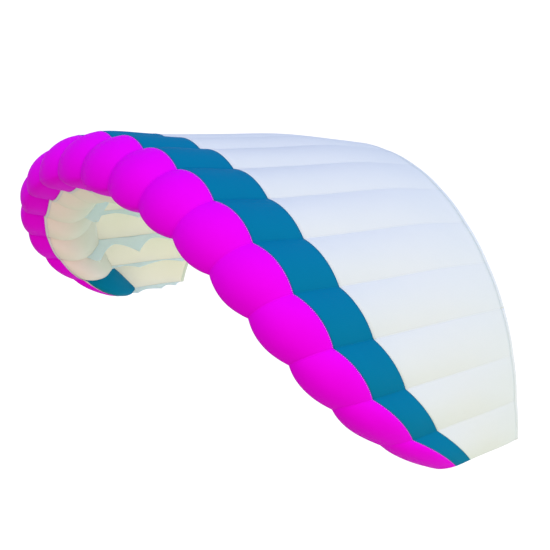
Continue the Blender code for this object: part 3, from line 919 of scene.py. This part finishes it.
for k, rib in enumerate(RIBS):
    top, bottom, free, stop, begin = rib_edges(k)
    lower = np.vstack([bottom, free])
    keep = [0]
    for i in range(1, len(lower)):
        if lower[i, 0] > lower[keep[-1], 0] + 1e-5:
            keep.append(i)
    lower = lower[keep]
    xs = np.concatenate([np.linspace(top[0, 0] + 0.0006, stop, 150),
                         free[:, 0], top[0, 0] + np.array((0.0015, 0.003, 0.006))])
    xs = np.unique(np.round(xs[(xs > top[0, 0] + 0.0005) & (xs <= stop)], 5))
    tape = 0.0065
    verts, uvs, faces, which = [], [], [], []
    levels = 9
    for x in xs:
        y1 = float(np.interp(x, top[:, 0], top[:, 1]))
        y0 = float(np.interp(x, lower[:, 0], lower[:, 1]))
        edge = min(tape, 0.45 * (y1 - y0))
        ys = [y0, y0 + edge] + [y0 + edge + (y1 - y0 - edge) * (j / (levels - 2)) ** 1.0
                                for j in range(1, levels - 1)]
        behind = min(1.0, max(0.0, (x / rib.chord - 0.33) / 0.1))
        for j, y in enumerate(ys):
            drop = (y1 - y) / max(y1 - y0, 1e-6)
            sway = 0.0016 * noise.noise(Vector((x / 0.09, k * 5.1, y / 0.08)))
            verts.append(rib_place(rib, rib_shift(k), x, y, sway * behind * drop))
            uvs.append((x, y))
    for i in range(len(xs) - 1):
        for j in range(levels - 1):
            a, b = i * levels + j, (i + 1) * levels + j
            faces.append((a, b, b + 1, a + 1))
            which.append(1 if j == 0 and xs[i] > begin else 0)
    obj = make_mesh(f"rib_cloth_{k + 1:02d}", verts, faces, uvs, [RIB_CLOTH, RIB_TAPE], which)
    solid = obj.modifiers.new("cloth", "SOLIDIFY")
    solid.thickness = RIB_SHEET
    solid.offset = 0.0
    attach(obj, body_of_rib(k))
    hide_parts(f"rib_{k + 1:02d}")
    high = float((top[:, 1]).max() - lower[:, 1].min())
    area = float(np.trapezoid(np.interp(xs, top[:, 0], top[:, 1])
                              - np.interp(xs, lower[:, 0], lower[:, 1]), xs)
                 if hasattr(np, "trapezoid") else
                 np.trapz(np.interp(xs, top[:, 0], top[:, 1])
                          - np.interp(xs, lower[:, 0], lower[:, 1]), xs))
    wide = float(xs[-1] - xs[0])
    FLAT_SIZES[obj.name] = (round(wide, 3), round(high, 3), round(area, 4))

    # Sewn loops at the three line tabs.
    if k not in LINE_RIBS:
        continue
    verts, faces = [], []
    for tab_u, tab_h, _ in LINE_TIPS:
        cx, cy = tab_u * rib.chord, tab_h * rib.chord
        loop = []
        for i in range(25):
            a = -math.pi * 0.5 + 2 * math.pi * i / 24
            r = 0.0040
            loop.append((cx + r * math.cos(a) * (0.55 + 0.45 * (0.5 - 0.5 * math.sin(a))),
                         cy - 0.0045 + 0.0085 * math.sin(a) + 0.003))
        base = len(verts)
        for i, (x, y) in enumerate(loop[:-1]):
            px, py = loop[i - 1] if i else loop[-2]
            nx, ny = loop[(i + 1) % 24]
            tx, ty = nx - px, ny - py
            size = math.hypot(tx, ty)
            ox, oy = ty / size, -tx / size
            for out, side in ((-0.0003, -0.0016), (0.0003, -0.0016), (0.0003, 0.0016), (-0.0003, 0.0016)):
                verts.append(rib_place(rib, rib_shift(k), x + ox * out, y + oy * out, side))
        for i in range(24):
            a, b = base + i * 4, base + ((i + 1) % 24) * 4
            for j in range(4):
                m = (j + 1) % 4
                faces.append((a + j, a + m, b + m, b + j))
    obj = make_mesh(f"line_loops_{k + 1:02d}", verts, faces, None, [WEBBING])
    bevel = obj.modifiers.new("edges", "BEVEL")
    bevel.width = 0.0002
    bevel.segments = 2
    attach(obj, body_of_rib(k))

for name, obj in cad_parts.items():
    if name.startswith("nose_rod"):
        obj.data.materials.clear()
        obj.data.materials.append(ROD)

# ---------------------------------------------------------------- stage, light
floor = bpy.data.meshes.new("floor")
floor.from_pydata([(-90, -90, -2.6), (90, -90, -2.6), (90, 90, -2.6), (-90, 90, -2.6)], [], [(0, 1, 2, 3)])
floor = bpy.data.objects.new("floor", floor)
bpy.context.scene.collection.objects.link(floor)
n = Nodes("floor_paint")
place = n.add("ShaderNodeTexCoord").outputs["Object"]
cloud = n.noise(place, 0.6, 2.0)
glow = n.add("ShaderNodeEmission")
glow.inputs["Strength"].default_value = 1.0
glow.inputs["Color"].default_value = (0.78, 0.76, 0.72, 1.0)
matt = n.add("ShaderNodeBsdfDiffuse")
n.link(n.mix(cloud, (0.36, 0.35, 0.33), (0.38, 0.37, 0.35)), matt.inputs["Color"])
both = n.add("ShaderNodeAddShader")
n.link(glow.outputs[0], both.inputs[0])
n.link(matt.outputs[0], both.inputs[1])
n.link(both.outputs[0], n.out.inputs["Surface"])
floor.data.materials.append(n.material)
floor.visible_diffuse = False
floor.visible_glossy = False
floor.visible_transmission = False
floor.visible_shadow = False

# A plain pale wall all round, seen past the floor's edge in views along the ground.
shell = bmesh.new()
bmesh.ops.create_uvsphere(shell, u_segments=48, v_segments=24, radius=88.0)
wall = bpy.data.meshes.new("wall")
shell.to_mesh(wall)
shell.free()
wall = bpy.data.objects.new("wall", wall)
bpy.context.scene.collection.objects.link(wall)
n = Nodes("wall_paint")
place = n.add("ShaderNodeTexCoord").outputs["Object"]
glow = n.add("ShaderNodeEmission")
glow.inputs["Strength"].default_value = 1.0
n.link(n.mix(n.noise(place, 0.05, 2.0), (1.0, 0.997, 0.993), (1.0, 1.0, 1.0)), glow.inputs["Color"])
n.link(glow.outputs[0], n.out.inputs["Surface"])
wall.data.materials.append(n.material)
wall.visible_diffuse = False
wall.visible_glossy = False
wall.visible_transmission = False
wall.visible_shadow = False

# A soft room of light, whose colour changes slowly with direction: (red, green, blue)
# for each term in the direction's x, y and z.
ROOM = {
    "1": (0.805, 0.871, 0.947),
    "x": (0.463, 0.380, 0.288),
    "y": (0.054, 0.139, 0.289),
    "z": (0.115, 0.046, 0.434),
    "xx": (0.020, -0.118, -0.324),
    "zz": (0.016, 0.149, 0.336),
    "xy": (-0.094, 0.007, -0.056),
    "xz": (0.600, 0.630, 0.606),
    "yz": (-0.764, -0.626, -0.779),
}
world = bpy.data.worlds.new("studio")
bpy.context.scene.world = world
world.use_nodes = True
tree = world.node_tree
tree.nodes.clear()
where = tree.nodes.new("ShaderNodeTexCoord")
split = tree.nodes.new("ShaderNodeSeparateXYZ")
tree.links.new(where.outputs["Generated"], split.inputs[0])
axes = {"x": split.outputs["X"], "y": split.outputs["Y"], "z": split.outputs["Z"]}
total = None
for term, amounts in ROOM.items():
    step = tree.nodes.new("ShaderNodeVectorMath")
    step.name = f"term_{term}"
    step.operation = "MULTIPLY_ADD"
    step.inputs[1].default_value = amounts
    if term == "1":
        step.inputs[0].default_value = (1.0, 1.0, 1.0)
    elif len(term) == 1:
        tree.links.new(axes[term], step.inputs[0])
    else:
        product = tree.nodes.new("ShaderNodeMath")
        product.operation = "MULTIPLY"
        tree.links.new(axes[term[0]], product.inputs[0])
        tree.links.new(axes[term[1]], product.inputs[1])
        tree.links.new(product.outputs[0], step.inputs[0])
    if total is None:
        step.inputs[2].default_value = (0.0, 0.0, 0.0)
    else:
        tree.links.new(total, step.inputs[2])
    total = step.outputs[0]
floor_step = tree.nodes.new("ShaderNodeVectorMath")
floor_step.operation = "MAXIMUM"
tree.links.new(total, floor_step.inputs[0])
floor_step.inputs[1].default_value = (0.0, 0.0, 0.0)
sky = tree.nodes.new("ShaderNodeBackground")
tree.links.new(floor_step.outputs[0], sky.inputs["Color"])
sky.inputs["Strength"].default_value = 1.0
out = tree.nodes.new("ShaderNodeOutputWorld")
tree.links.new(sky.outputs[0], out.inputs["Surface"])

bpy.context.scene.view_settings.view_transform = "Standard"
bpy.context.scene.view_settings.look = "None"

# --------------------------------------------------------------------- camera
YAW, PITCH, ROLL = 0.9184, 0.3032, 0.0217
look = Vector((-math.sin(YAW) * math.cos(PITCH), math.cos(YAW) * math.cos(PITCH), -math.sin(PITCH)))
right = Vector((math.cos(YAW), math.sin(YAW), 0.0))
up = right.cross(look)
cam_x = right * math.cos(ROLL) + up * math.sin(ROLL)
cam_y = up * math.cos(ROLL) - right * math.sin(ROLL)
cam_z = -look
camera = bpy.data.objects.new("camera", bpy.data.cameras.new("camera"))
bpy.context.scene.collection.objects.link(camera)
camera.matrix_world = Matrix((
    (cam_x.x, cam_y.x, cam_z.x, 3.4615),
    (cam_x.y, cam_y.y, cam_z.y, -1.8448),
    (cam_x.z, cam_y.z, cam_z.z, 0.8861),
    (0, 0, 0, 1),
))
camera.data.sensor_width = 36.0
camera.data.lens = 1143.29 / 550 * 36
camera.data.clip_start = 0.05
camera.data.clip_end = 400
bpy.context.scene.camera = camera

print("FLAT", json.dumps(FLAT_SIZES))
